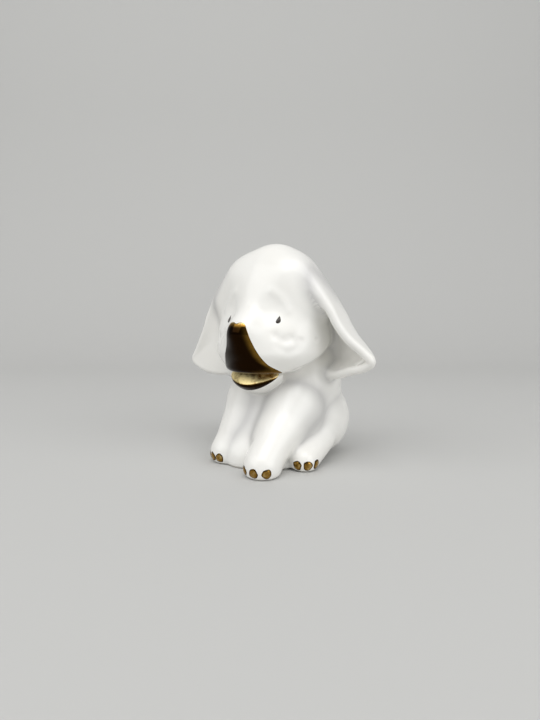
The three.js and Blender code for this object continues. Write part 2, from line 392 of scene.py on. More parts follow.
@dataclass(frozen=True)
class Skin:
    """The glazed surface over all the porcelain pieces, with a ground, vented base.

    Attributes:
        members: the pieces' parts, in the order in which they are luted together.
        base_edge: rounding round the base.
        vent_at: middle of the firing vent in the base.
        vent_radius: the vent's radius.
        vent_depth: how far up the vent goes.
        pool_shade_depth: how far off every piece the skin lies where the fold mark is full, the grey of
            pooled glaze and painted shade in the fold.
        pool_shade_as_one: pieces that count as one, so that the broad slope between them gets no painted
            shade.
        bare_heights: where the bare ground base ends and where the glaze is whole.
    """

    members: tuple[Member, ...]
    base_edge: float = 1.2
    vent_at: Pair = (0.0, 9.0)
    vent_radius: float = 3.5
    vent_depth: float = 5.0
    pool_shade_depth: float = 1.2
    pool_shade_as_one: tuple[str, ...] = ("head_casting", "trunk")
    bare_heights: Pair = (0.05, 0.4)

    def values(self, points: Array) -> dict[str, Array]:
        """Each member's own distance, by node."""
        return {member.node: member.distance(points) for member in self.members}

    def joined(self, values: dict[str, Array], points: Array) -> Array:
        """Joins members one after another, each with its own fillet, and cuts them flat at the base.

        Args:
            values: the distances of the members to join, by node.
            points: where they were measured.

        Returns:
            One level, negative inside.
        """
        level: Optional[Array] = None
        for member in self.members:
            if member.node in values:
                own = values[member.node]
                level = own if level is None else blend(level, own, member.width(points))
        return carve(level, -points[..., 2], self.base_edge)

    def level(self, points: Array) -> Array:
        """The whole skin's level."""
        return self.joined(self.values(points), points)

    def vent(self, points: Array) -> Array:
        """Distance from the round firing vent in the base."""
        across = length(points[..., :2] - np.array(self.vent_at)) - self.vent_radius
        return np.maximum(across, points[..., 2] - self.vent_depth)

    def ground(self, node: str, overlap: float) -> Field:
        """The level of one piece: the skin on its own ground, sunk by a square beyond its seam.

        Args:
            node: the piece's CAD node.
            overlap: how far the piece stays on the skin past the seam.

        Returns:
            The piece's field.
        """

        def level(points: Array) -> Array:
            """The piece's level, with the vent taken out.

            Args:
                points: where to measure.

            Returns:
                The level, negative inside.
            """
            values = self.values(points)
            whole = self.joined(values, points)
            own = values.pop(node)
            beyond = np.maximum(own - self.joined(values, points) - overlap, 0.0)
            return np.maximum(whole + SINK_RATE * beyond**2, -self.vent(points))

        return level

    def rest(self, node: str) -> Field:
        """The skin without one of its members.

        Args:
            node: the CAD node of the member to leave out.

        Returns:
            The field of all the others.
        """

        def level(points: Array) -> Array:
            """The others' level.

            Args:
                points: where to measure.

            Returns:
                The level, negative inside.
            """
            values = self.values(points)
            values.pop(node)
            return self.joined(values, points)

        return level

    def pooling_and_shade(self, points: Array) -> Array:
        """How deep a point lies in a fold, which marks pooled glaze and painted shade: the distance to
        the nearest piece, over the depth.

        Args:
            points: places on the skin.

        Returns:
            From 0 on open ground to 1 in a fold.
        """
        values = self.values(points)
        # Folds are greyed as painted shade as well as pooled glaze; head and trunk count as one, so their
        # wide fillet stays light
        nearest = self.joined({node: values.pop(node) for node in self.pool_shade_as_one}, points)
        for own in values.values():
            nearest = np.minimum(nearest, own)
        return np.clip(nearest / self.pool_shade_depth, 0.0, 1.0)


# Meshes


def strip(grid: Array) -> Array:
    """A grid's inner rows one after another, then its poles, the means of its first and last row."""
    inner = grid[1:-1].reshape(-1, *grid.shape[2:])
    return np.concatenate([inner, grid[:1].mean(1), grid[-1:].mean(1)])


@dataclass(frozen=True)
class Fineness:
    """Rows and columns of a piece's grid."""

    rows: int
    columns: int


@dataclass(frozen=True)
class Piece:
    """A finished surface, ready for Blender.

    Attributes:
        node: the CAD node it stands for.
        rows: a grid of points. Its columns run round and close, and its first and last rows are
            drawn together to poles.
        slot: the record's material slot.
        marks: values at the grid's points that the finish reads, by name.
        normals: directions at the grid's points, so that no seam shows in the gloss.
    """

    node: str
    rows: Array
    slot: Slot
    marks: dict[str, Array]
    normals: Optional[Array] = None

    def faces(self, points: Array) -> list[list[int]]:
        """Four-sided faces between the rows and three-sided ones round the poles, all outward.

        Args:
            points: the mesh's points, in strip's order.

        Returns:
            The corners of each face.
        """
        count, around = self.rows.shape[:2]
        here = np.arange(around)
        beside = (here + 1) % around
        row = np.arange(count - 3)[:, None] * around
        corners = [row + here, row + beside, row + around + beside, row + around + here]
        quads = np.stack(corners, -1).reshape(-1, 4)
        last = (count - 3) * around
        pole = np.full(around, (count - 2) * around)
        caps = np.concatenate([
            np.stack([pole, beside, here], -1),
            np.stack([pole + 1, last + here, last + beside], -1),
        ])
        first, second, third = (points[quads[:, i]] for i in range(3))
        if np.einsum("ij,ij->", first, np.cross(second, third)) < 0:
            quads = quads[:, ::-1]
            caps = caps[:, ::-1]
        return quads.tolist() + caps.tolist()

    def to_object(self, finish: bpy.types.Material) -> bpy.types.Object:
        """Makes the smooth Blender object and gives it its finish.

        Args:
            finish: the material it wears.

        Returns:
            The object, riding on the figurine.
        """
        points = strip(self.rows) * MM
        mesh = bpy.data.meshes.new(f"{self.node}_skin")
        mesh.from_pydata(points.tolist(), [], self.faces(points))
        mesh.shade_smooth()
        if self.normals is not None:
            mesh.normals_split_custom_set_from_vertices(unit(strip(self.normals)).tolist())
        for name, values in self.marks.items():
            mark = mesh.attributes.new(name, "FLOAT", "POINT")
            mark.data.foreach_set("value", strip(values).astype(np.float32))
        mesh.materials.append(finish)
        made = bpy.data.objects.new(f"{self.node}_skin", mesh)
        bpy.context.scene.collection.objects.link(made)
        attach(made, ROOT)
        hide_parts(self.node)
        return made


def porcelain_piece(node: str, rows: Array, skin: Skin, normals: Optional[Array] = None) -> Piece:
    """A porcelain piece with the marks its glaze reads: pooled glaze with painted shade in the folds, and
    the bare ground base.
    """
    bare = 1.0 - smooth_step(rows[..., 2], *skin.bare_heights)
    # The fold mark greys creases: pooled glaze, and painted shade where the folds lie in shadow
    return Piece(node, rows, Slot.PORCELAIN, {"pooled_and_shaded": skin.pooling_and_shade(rows), "bare": bare}, normals)


def cast(node: str, skin: Skin, middle: Point, fineness: Fineness, overlap: float = 0.0) -> Piece:
    """A piece that can be seen whole from one point inside it.

    Rays leave that point at even steps of height angle and of turn, and end where the piece's level
    reaches zero.

    Args:
        node: the piece's CAD node.
        skin: the common skin.
        middle: a point inside the piece.
        fineness: how many rays.
        overlap: how far the piece stays on the skin past its seams.

    Returns:
        The porcelain piece.
    """
    tilt = np.linspace(0.0, np.pi, fineness.rows)[:, None]
    turn = np.linspace(0.0, 2 * np.pi, fineness.columns, endpoint=False)[None]
    up = np.cos(tilt) * np.ones_like(turn)
    rays = np.stack([np.sin(tilt) * np.cos(turn), np.sin(tilt) * np.sin(turn), up], -1)
    origins = np.broadcast_to(np.array(middle, float), rays.shape)
    run = reach(skin.ground(node, overlap), origins, rays, CASTING_REACH)
    rows = origins + rays * run[..., None]
    return porcelain_piece(node, rows, skin, outward(skin.level, rows, SHADING_PROBE))


# Sub-assemblies of the calf


class SubAssembly:
    """A part of the calf that works out its surfaces and then dresses them."""

    def build(self, skin: Skin) -> list[Piece]:
        """The sub-assembly's surfaces, which each kind works out in its own way."""
        raise NotImplementedError

    def dress(self, pieces: Sequence[Piece], finishes: dict[Slot, bpy.types.Material]) -> None:
        """Makes each surface an object in the finish of its slot, and reports it.

        Args:
            pieces: the surfaces.
            finishes: the materials, by slot.
        """
        for piece in pieces:
            made = piece.to_object(finishes[piece.slot])
            mesh = made.data
            LOG.info("%s: %d points, %d faces", made.name, len(mesh.vertices), len(mesh.polygons))


@dataclass(frozen=True)
class Body(SubAssembly):
    """The hollow body casting: torso, seat, chest and thick neck, and the low webs between the legs."""

    torso: Ellipsoid = Ellipsoid((0, 9, 23), (18, 18, 22))
    seat: Ellipsoid = Ellipsoid((0, 8, 11), (16.5, 16.5, 13.5))
    chest: Ellipsoid = Ellipsoid((0, 5, 24.5), (17.5, 12.5, 12.5))
    neck: Ellipsoid = Ellipsoid((0, 5.5, 32), (19.6, 13.2, 13))
    lap: RoundCone = RoundCone((0, -2, 15), 9.0, (-3, -13.6, 2), 8.2)
    left_web: RoundCone = RoundCone((9, -4, 13), 7.5, (9.6, -12.5, 1.5), 3.0)
    right_web: RoundCone = RoundCone((-8, -2, 12), 7.0, (-11.5, -7.5, 1.5), 3.0)
    fillet: float = 6.0
    middle_height: float = 20.0
    fineness: Fineness = Fineness(128, 192)

    def distance(self, points: Array) -> Array:
        """All its shapes, joined by wide fillets.

        Args:
            points: where to measure.

        Returns:
            The distances, negative inside.
        """
        level = self.torso.distance(points)
        for shape in (self.seat, self.chest, self.neck, self.lap, self.left_web, self.right_web):
            level = blend(level, shape.distance(points), self.fillet)
        return level

    def members(self) -> list[Member]:
        """The body's part in the skin."""
        return [Member("body_casting", self.distance)]

    def build(self, skin: Skin) -> list[Piece]:
        """The body, cast from a point above the vent so that the vent lies at the lower pole."""
        return [cast("body_casting", skin, (*skin.vent_at, self.middle_height), self.fineness)]


@dataclass(frozen=True)
class Head(SubAssembly):
    """The hollow head casting: skull, cheeks and lower face, with the brows and folds modelled on."""

    skull: Ellipsoid = Ellipsoid((0, -2, 54), (17, 15, 21))
    cheek: Ellipsoid = Ellipsoid((9.2, -2.5, 43.5), (10.8, 12, 13))
    hood: RoundCone = RoundCone((9.4, -5.2, 62.5), 6.8, (17.0, -5, 55), 5.0)
    jowl: Ellipsoid = Ellipsoid((7, -6, 40), (10.5, 11.5, 11))
    bridge: RoundCone = RoundCone((0, -8, 55), 7.0, (0, -18.5, 46.5), 3.0)
    face: Ellipsoid = Ellipsoid((0, -4.5, 39.5), (15, 12.5, 11))
    fillet: float = 6.0
    jaw_front: Point = (12, -15, 31.6)
    jaw_rise: float = 0.48
    jaw_edge: float = 2.5
    neck_fillet: float = 3.0
    overlap: float = 2.0
    brow: Ridge = Ridge(
        ((7.5, -16, 58.5), (9.6, -15, 57), (11.2, -14.3, 54.9), (12.6, -13.8, 52.4)), 0.3, 1.5)
    eye_hollow: Ridge = Ridge(((7.4, -16.2, 55), (8.6, -15.8, 53.2)), -0.2, 2.0)
    upper_pouch: Ridge = Ridge(((10.8, -18.4, 44.2), (12.9, -17.3, 43.0), (14.6, -15.7, 43.4)), -0.8, 1.5)
    lower_pouch: Ridge = Ridge(
        ((11.6, -18.6, 41.0), (14.1, -17, 39.2), (16.2, -14.9, 40.1), (17.0, -13.3, 42.6)), -0.4, 1.3)
    dent: Ridge = Ridge(((19.6, -8, 43.1), (19.8, -7.6, 42.9)), -0.3, 0.7)
    middle: Point = (0, -3, 48)
    fineness: Fineness = Fineness(176, 256)

    def distance(self, points: Array) -> Array:
        """Its shapes joined by wide fillets, cut off below along the jaw, less the ridges.

        Args:
            points: where to measure.

        Returns:
            The distances, negative inside.
        """
        level = self.skull.distance(points)
        paired = [shape.on(side) for side in Side for shape in (self.cheek, self.hood, self.jowl)]
        for shape in (self.face, self.bridge, *paired):
            level = blend(level, shape.distance(points), self.fillet)
        jaw = self.jaw_front[2] + self.jaw_rise * (points[..., 1] - self.jaw_front[1])
        level = carve(level, (jaw - points[..., 2]) / np.hypot(1.0, self.jaw_rise), self.jaw_edge)
        for ridge in (self.brow, self.eye_hollow, self.upper_pouch, self.lower_pouch, self.dent):
            level = level - ridge.lift(points)
        return level

    def members(self) -> list[Member]:
        """The head's part in the skin."""
        return [Member("head_casting", self.distance, self.neck_fillet)]

    def build(self, skin: Skin) -> list[Piece]:
        """The head, cast from its middle."""
        return [cast("head_casting", skin, self.middle, self.fineness, self.overlap)]


@dataclass(frozen=True)
class Muzzle(SubAssembly):
    """The raised trunk, flared at its foot into the upper lip, and the lower lip under it."""

    trunk: RoundCone = RoundCone((0, -12, 36), 10.0, (0, -20.5, 44.4), 4.7)
    upper_lip: Ellipsoid = Ellipsoid((0, -8.5, 34.2), (13.3, 12, 6.5))
    flare: float = 5.0
    trunk_middle: Point = (0, -15, 38)
    trunk_fillet: float = 8.0
    mouth_fillet: float = 0.8
    fillet_heights: Pair = (32.0, 39.0)
    roof_height: float = 32.0
    roof_edge: float = 1.6
    lip: Ellipsoid = Ellipsoid((-1, -9, 31.2), (13.0, 11.8, 7.4))
    crest_height: float = 28.0
    crest_radius: float = 10.2
    lip_slope: float = 1.8
    lip_edge: float = 0.8
    lip_bow: float = 0.035
    lip_corner: Pair = (11.2, -12.0)
    lip_middle: Point = (0, -12, 28.5)
    lip_fillet: float = 0.2
    trunk_fineness: Fineness = Fineness(112, 144)
    lip_fineness: Fineness = Fineness(80, 144)

    def trunk_distance(self, points: Array) -> Array:
        """The tapered trunk and its flared foot, cut off level below by the roof of the mouth."""
        solid = blend(self.trunk.distance(points), self.upper_lip.distance(points), self.flare)
        return carve(solid, self.roof_height - points[..., 2], self.roof_edge)

    def lip_distance(self, points: Array) -> Array:
        """A bowl with an upper face that slopes down to its edge as a cone, cut back at the corners.

        The whole of it is bowed up by the square of the distance from its middle line.

        Args:
            points: where to measure.

        Returns:
            The distances, negative inside.
        """
        radius = length(points[..., :2] - np.array(self.lip.centre[:2]))
        side = np.abs(points[..., 0] - self.lip.centre[0])
        level = points.copy()
        level[..., 2] -= self.lip_bow * side**2
        face = self.crest_height + self.lip_slope * (self.crest_radius - radius)
        above = (level[..., 2] - face) / np.hypot(1.0, self.lip_slope)
        past = side - self.lip_corner[0] + points[..., 1] - self.lip_corner[1]
        bowl = carve(self.lip.distance(level), past * np.sqrt(0.5), self.lip_edge)
        return carve(bowl, above, self.lip_edge)

    def trunk_joint(self, points: Array) -> Array:
        """The fillet between trunk and face, wide above and narrow at the mouth."""
        share = smooth_step(points[..., 2], *self.fillet_heights)
        return self.mouth_fillet + (self.trunk_fillet - self.mouth_fillet) * share

    def members(self) -> list[Member]:
        """The trunk's and the lip's part in the skin."""
        trunk = Member("trunk", self.trunk_distance, self.trunk_joint)
        return [trunk, Member("lower_lip", self.lip_distance, self.lip_fillet)]

    def build(self, skin: Skin) -> list[Piece]:
        """Trunk and lip, each cast from its middle."""
        trunk = cast("trunk", skin, self.trunk_middle, self.trunk_fineness)
        return [trunk, cast("lower_lip", skin, self.lip_middle, self.lip_fineness)]


@dataclass
class Ear(SubAssembly):
    """A cupped ear: a sheet whose outer edge is folded forward round its hollow.

    Attributes:
        side: which ear.
        rim: points round its edge, as on the calf's left.
        hub: the bottom of its hollow, as on the calf's left.
        steepness: the power of the way out by which the sheet comes forward.
        shallowing: how much shallower the hollow grows for each millimetre outwards.
        forward_lean: how much the hollow leans forward for each millimetre upwards.
        half_thickness: half the flap's thickness.
        rim_share: the share of the grid's rows that turn round the rim.
        low_fillet: width of the joint to the head low down.
        high_fillet: width of the joint high up, where the ear grows out of the crown.
        fillet_heights: between which heights the joint widens.
        lattice_points: points spread over the sheet for the lattice, out and round.
        lattice_pitch: spacing of the lattice.
        lattice_margin: how far the lattice reaches beyond the sheet.
        slope_step: step along the sheet by which its slopes are taken.
        hub_clear: how near to the hub the slopes are taken.
        push_range: how far off the plain surface the lattice begins to count, and counts in full.
        push_reach: how far the fillet may push the surface out.
        gloss_range: how far from the head its gloss is shared in full, and no more.
        fineness: rows from hub to rim, and columns round it.
        lattice: the ear's distances.
    """

    side: Side
    rim: tuple[Point, ...]
    hub: Point
    steepness: float
    shallowing: float = 0.0
    forward_lean: float = 0.0
    half_thickness: float = 1.5
    rim_share: float = 0.14
    low_fillet: float = 4.0
    high_fillet: float = 5.5
    fillet_heights: Pair = (46.0, 57.0)
    lattice_points: Fineness = Fineness(60, 180)
    lattice_pitch: float = 1.0
    lattice_margin: float = 8.0
    slope_step: float = 1e-3
    hub_clear: float = 0.02
    push_range: Pair = (0.2, 1.5)
    push_reach: float = 8.0
    gloss_range: Pair = (0.5, 4.0)
    fineness: Fineness = Fineness(48, 128)
    lattice: Lattice = field(init=False)

    def __post_init__(self) -> None:
        """Measures the ear's distances, from points spread over its sheet."""
        ways_out = np.linspace(0, 1, self.lattice_points.rows)
        turns = np.linspace(0, 1, self.lattice_points.columns, endpoint=False)
        points = self.sheet(*np.meshgrid(ways_out, turns, indexing="ij")).reshape(-1, 3)
        self.lattice = Lattice.around(
            points, self.half_thickness, self.lattice_pitch, self.lattice_margin)

    @property
    def node(self) -> str:
        """The CAD node it stands for."""
        return f"{self.side.word}_ear"

    def sheet(self, out: Array, turn: Array) -> Array:
        """Points of the ear's middle sheet.

        Along each turn the sheet leaves the hub level and comes forward by a power of the way out,
        until it meets the rim. The hollow grows shallower outwards.

        Args:
            out: how far from hub to rim, from 0 to 1.
            turn: how far round the rim, from 0 to 1.

        Returns:
            The points.
        """
        across = np.clip(out, 0.0, 1.0)
        hub = np.array(self.hub)
        edge = run_through(self.rim, turn, closed=True) - hub
        slant = self.shallowing * np.maximum(edge[..., 0], 0.0)
        slant = slant + self.forward_lean * np.maximum(edge[..., 2], 0.0)
        depth = (edge[..., 1] + slant) * across**self.steepness - slant * across
        points = hub + np.stack([edge[..., 0] * across, depth, edge[..., 2] * across], -1)
        points[..., 0] *= self.side.value
        return points

    def plain_surface(self) -> tuple[Array, Array]:
        """The ear before it is joined to the head.

        The grid runs from the hub over the front face to the rim, half round it and back over the
        rear face. Each point stands off the sheet by the half thickness.

        Returns:
            The points and their outward directions.
        """
        half = self.fineness.rows
        step = self.slope_step
        bow = np.linspace(-1.0, 1.0, 2 * half + 1)[:, None]
        turn = np.linspace(0, 1, self.fineness.columns, endpoint=False)[None] * np.ones_like(bow)
        out = np.clip((1 - np.abs(bow)) / (1 - self.rim_share), 0.0, 1.0) * np.ones_like(turn)
        tip = np.clip(1 - np.abs(bow) / self.rim_share, 0.0, 1.0)[..., None] * np.pi / 2
        held = np.clip(out, self.hub_clear, 1 - 2 * step)
        along = self.sheet(held + step, turn) - self.sheet(held - step, turn)
        beside = self.sheet(held, (turn + step) % 1) - self.sheet(held, (turn - step) % 1)
        normal = unit(np.cross(along, beside))
        facing = np.sign(-normal[half // 2, :, 1].mean())
        normal *= facing * np.where(bow < 0, 1.0, -1.0)[..., None]
        shared = (along * beside).sum(-1) / np.maximum((beside**2).sum(-1), TINY)
        past_rim = unit(along - shared[..., None] * beside)
        normal = np.cos(tip) * normal + np.sin(tip) * past_rim
        return self.sheet(out, turn) + normal * self.half_thickness, normal

    def joint(self, points: Array) -> Array:
        """The fillet between ear and head, wide above where the ear grows out of the crown."""
        share = smooth_step(points[..., 2], *self.fillet_heights)
        return self.low_fillet + (self.high_fillet - self.low_fillet) * share

    def members(self) -> list[Member]:
        """The ear's part in the skin."""
        return [Member(self.node, self.lattice.distance, self.joint)]

    def build(self, skin: Skin) -> list[Piece]:
        """The ear, pushed out along its normals as far as the fillet to the head needs.

        Its gloss follows its own grid, and near the head the common skin.

        Args:
            skin: the common skin.

        Returns:
            The ear.
        """
        surface, normal = self.plain_surface()
        rest = skin.rest(self.node)

        def level(points: Array) -> Array:
            """The plain surface's level, and the lattice's further out, joined to the others.

            Args:
                points: where to measure.

            Returns:
                The level, negative inside.
            """
            own = np.einsum("...i,...i->...", points - surface, normal)
            pushed = smooth_step(own, *self.push_range)
            own = own + pushed * np.minimum(self.lattice.distance(points) - own, 0.0)
            return settle(own, rest(points), self.joint(points))

        rows = surface + normal * reach(level, surface, normal, self.push_reach)[..., None]
        slopes = np.cross(np.gradient(rows, axis=0), np.roll(rows, -1, 1) - np.roll(rows, 1, 1))
        slopes = unit(slopes * np.sign((slopes * normal).sum()))
        slopes[[0, -1]] = normal[[0, -1]]
        near = 1 - smooth_step(rest(rows), *self.gloss_range)
        shared = outward(skin.level, rows, SHADING_PROBE)
        return [porcelain_piece(self.node, rows, skin, slopes + near[..., None] * (shared - slopes))]


def left_ear() -> Ear:
    """The left ear, folded well forward round a deep hollow.

    Returns:
        The ear.
    """
    rim = (
        (8, -3, 67), (14.3, -6, 64.5), (20.2, -8.8, 58.9), (24.9, -9.6, 53.1), (27.4, -9, 48.2),
        (30.4, -7.6, 43.6), (34.4, -5.2, 39.4), (36.8, -4, 36.4), (34.4, -3.4, 34.4),
        (29, -2.6, 32.8), (22, 0, 30.9), (13, 6, 32), (8, 8, 45), (7, 5, 58),
    )
    return Ear(Side.LEFT, rim, hub=(21.5, 7.0, 44.6), steepness=5.5, shallowing=0.45, forward_lean=0.32)


def right_ear() -> Ear:
    """The right ear, which is nearly flat.

    Returns:
        The ear.
    """
    rim = (
        (8, -4.6, 67), (14.5, -5.2, 64.5), (21.1, -5.8, 58.1), (26, -5.9, 51.1), (28.3, -5.8, 45.6),
        (31, -5.5, 40.6), (33.6, -5, 36.4), (35.3, -4.8, 33.4), (33, -4.7, 31.4),
        (28.5, -4.5, 29.8), (20.9, -4, 29.6), (13, -2.8, 32), (8, -2.4, 45), (7, -3, 58),
    )
    return Ear(Side.RIGHT, rim, hub=(21.5, -4.6, 43.5), steepness=2.5)


@dataclass(frozen=True)
class Legs(SubAssembly):
    """Four legs. The left feet stand ahead of the right."""

    shoulder: Point = (9.0, -4, 19.6)
    shoulder_radius: float = 9.0
    wrist_share: float = 0.5
    wrist_inward: float = 0.3
    wrist_radius: float = 6.3
    front_feet: tuple[Pair, Pair] = ((8.8, -22.8), (-10.5, -16.0))
    front_foot_radius: float = 6.2
    front_foot_height: float = 3.4
    thigh: Ellipsoid = Ellipsoid((12.5, 9.8, 13.4), (9.4, 11.4, 12.0))
    knee: Point = (16.2, 1.5, 7.6)
    knee_radius: float = 4.9
    hind_foot_radius: float = 4.7
    hind_foot_height: float = 3.0
    hind_outward: float = 30.0
    hind_spaces: Pair = (4.3, 1.6)
    fillet: float = 3.0
    foot_fillet: float = 1.5
    joint_fillet: float = 5.5
    hind_fillet: float = 2.6
    fillet_heights: Pair = (3.0, 12.0)
    fineness: Fineness = Fineness(96, 128)

    def front_foot(self, side: Side) -> Array:
        """Middle of a front foot, on the ground."""
        return np.array(side.pick(self.front_feet))

    def hind_foot(self, side: Side) -> Array:
        """Middle of a hind foot, on the ground: behind and outward of the front foot of its side.

        Args:
            side: which foot.

        Returns:
            Its X and Y.
        """
        apart = self.front_foot_radius + self.hind_foot_radius + side.pick(self.hind_spaces)
        turn = np.radians(self.hind_outward)
        return self.front_foot(side) + apart * np.array([side.value * np.sin(turn), np.cos(turn)])

    def wrist(self, side: Side) -> Point:
        """Middle of a wrist, between shoulder and foot and drawn in a little.

        Args:
            side: which wrist.

        Returns:
            The point.
        """
        top = np.array(side.place(self.shoulder))
        foot = np.array([*self.front_foot(side), self.front_foot_height])
        inward = np.array(side.place((self.wrist_inward, 0, 0)))
        return tuple(top + (foot - top) * self.wrist_share - inward)

    def front_field(self, side: Side) -> Field:
        """A front leg: a taper from shoulder to wrist joined to one from wrist to foot.

        Args:
            side: which leg.

        Returns:
            The leg's distance.
        """
        wrist = self.wrist(side)
        foot = (*self.front_foot(side), self.front_foot_height)
        upper = RoundCone(side.place(self.shoulder), self.shoulder_radius, wrist, self.wrist_radius)
        lower = RoundCone(wrist, self.wrist_radius, foot, self.front_foot_radius)
        return lambda points: blend(upper.distance(points), lower.distance(points), self.fillet)

    def hind_field(self, side: Side) -> Field:
        """A hind leg: a full thigh joined to a taper from knee to foot.

        Args:
            side: which leg.

        Returns:
            The leg's distance.
        """
        thigh = self.thigh.on(side)
        foot = (*self.hind_foot(side), self.hind_foot_height)
        shank = RoundCone(side.place(self.knee), self.knee_radius, foot, self.hind_foot_radius)
        return lambda points: blend(thigh.distance(points), shank.distance(points), self.fillet)

    def joint(self, points: Array) -> Array:
        """The fillet between front leg and body, wide above and narrow at the foot."""
        share = smooth_step(points[..., 2], *self.fillet_heights)
        return self.foot_fillet + (self.joint_fillet - self.foot_fillet) * share

    def members(self) -> list[Member]:
        """The four legs' part in the skin.

        Returns:
            The left legs, then the right ones.
        """
        made = []
        for side in Side:
            made.append(Member(f"{side.word}_front_leg", self.front_field(side), self.joint))
            made.append(Member(f"{side.word}_hind_leg", self.hind_field(side), self.hind_fillet))
        return made

    def build(self, skin: Skin) -> list[Piece]:
        """The front legs cast from their wrists, the hind legs from their knees.

        Args:
            skin: the common skin.

        Returns:
            The four legs.
        """
        made = []
        for side in Side:
            made.append(cast(f"{side.word}_front_leg", skin, self.wrist(side), self.fineness))
            made.append(cast(f"{side.word}_hind_leg", skin, side.place(self.knee), self.fineness))
        return made


@dataclass(frozen=True)
class Tail(SubAssembly):
    """A slim tail down the rump, curling to the calf's right and ending in a tuft.

    Attributes:
        body: the body whose rump it lies on.
        course: height, degrees to the right and distance off the rump, from the root to the tip.
        radius: the tail's radius at its root.
        thinning: the share of the radius that is lost at the tip.
        tuft_radius: how much the tuft adds.
        tuft_at: where the tuft is thickest, as a share of the length.
        tuft_length: how far from there it falls to a third.
        end_roundness: the power that rounds both ends.
        fillet: width of the joint to the body.
        push_reach: how far the fillet may push the surface out.
        fineness: rows along the tail and columns round it.
    """

    body: Body
    course: tuple[Point, ...] = ((21, 0, -2.5), (15, 3, 1.0), (9, 11, 1.3), (4.2, 26, 1.6))
    radius: float = 1.9
    thinning: float = 0.4
    tuft_radius: float = 1.2
    tuft_at: float = 0.86
    tuft_length: float = 0.1
    end_roundness: int = 8
    fillet: float = 1.5
    push_reach: float = 2.0
    fineness: Fineness = Fineness(72, 40)

    def path(self) -> Array:
        """The tail's middle line: the course, laid on the rump by rays from the torso's upright axis.

        Returns:
            Points along the line.
        """
        heights, turned, stand_off = np.array(self.course, float).T
        turn = np.radians(turned)
        rays = np.stack([-np.sin(turn), np.cos(turn), np.zeros_like(turn)], -1)
        depth = np.full_like(heights, self.body.torso.centre[1])
        starts = np.stack([np.zeros_like(heights), depth, heights], -1)
        run = reach(self.body.distance, starts, rays, CASTING_REACH) + stand_off
        knots = starts + rays * run[:, None]
        return run_through(knots, np.linspace(0, 1, self.fineness.rows), closed=False)

    def build(self, skin: Skin) -> list[Piece]:
        """A round profile carried along the path, thinning to the tuft.

        Args:
            skin: the common skin.

        Returns:
            The tail.
        """
        path = self.path()
        along = np.linspace(0, 1, self.fineness.rows)
        heading = unit(np.gradient(path, axis=0))
        across = unit(np.array([1.0, 0, 0]) - heading * heading[:, :1])
        up = np.cross(heading, across)
        rounding = np.sqrt(np.maximum(1 - (2 * along - 1) ** self.end_roundness, 0.0))
        tuft = self.tuft_radius * np.exp(-(((along - self.tuft_at) / self.tuft_length) ** 2))
        radius = rounding * (self.radius * (1 - self.thinning * along) + tuft)
        spin = np.linspace(0, 2 * np.pi, self.fineness.columns, endpoint=False)[None, :, None]
        spokes = across[:, None] * np.cos(spin) + up[:, None] * np.sin(spin)
        surface = path[:, None] + spokes * radius[:, None, None]

        def level(points: Array) -> Array:
            """The profile's level, joined to the skin."""
            own = np.einsum("...i,...i->...", points - surface, spokes)
            return settle(own, skin.level(points), self.fillet)

        lift = reach(level, surface, spokes, self.push_reach)
        return [porcelain_piece("tail", surface + spokes * lift[..., None], skin)]


# Fired-on decoration


@dataclass(frozen=True)
class Patch:
    """A thin layer fired on to the skin, a closed lens that is sunk all round its edge.

    Attributes:
        node: the CAD node it stands for.
        slot: the record's material slot.
        height: how far its face stands off the skin.
        sink: how far its back lies under the skin.
        dome: how its height falls towards the edge: a high power is a flat layer, a low one a bead.
        fineness: rows from the middle to the edge, and columns round it.
        edge_share: the share of the sink at which its edge lies.
    """

    node: str
    slot: Slot
    height: float
    sink: float
    dome: float
    fineness: Fineness
    edge_share: float = 0.25

    def build(self, level: Field, outline: Outline, far: float, shade: Shade) -> Piece:
        """Lays the lens on the skin.

        Each place of a disc is given a ray that starts under the skin. Where the ray reaches the
        skin, the face stands off along the normal by the height times one less a power of the
        distance from the middle, and the back lies under it.

        Args:
            level: the field of the skin, or of the piece it lies on.
            outline: gives the rays' origins and directions for places out and round the disc.
            far: a length that no ray stays inside for.
            shade: gives the layer's mark of brushed thickness and painted sheen, from places out, points
                and normals.

        Returns:
            The layer.
        """
        bow = np.linspace(-1.0, 1.0, 2 * self.fineness.rows + 1)[:, None]
        turn = np.linspace(0, 2 * np.pi, self.fineness.columns, endpoint=False)[None] * np.ones_like(bow)
        out = np.sin((1 - np.abs(bow)) * np.pi / 2) * np.ones_like(turn)
        origins, directions = outline(out, turn)
        seat = origins + directions * reach(level, origins, directions, far)[..., None]
        normal = outward(level, seat)
        fall = np.maximum(1 - out**self.dome, 0.0)
        edge = self.sink * self.edge_share
        stand = np.where(bow < 0, (self.height + edge) * fall, (edge - self.sink) * fall) - edge
        rows = seat + normal * stand[..., None]
        # The mark carries brushed thickness and painted sheen
        return Piece(self.node, rows, self.slot, {"thick": shade(out, seat, normal)})


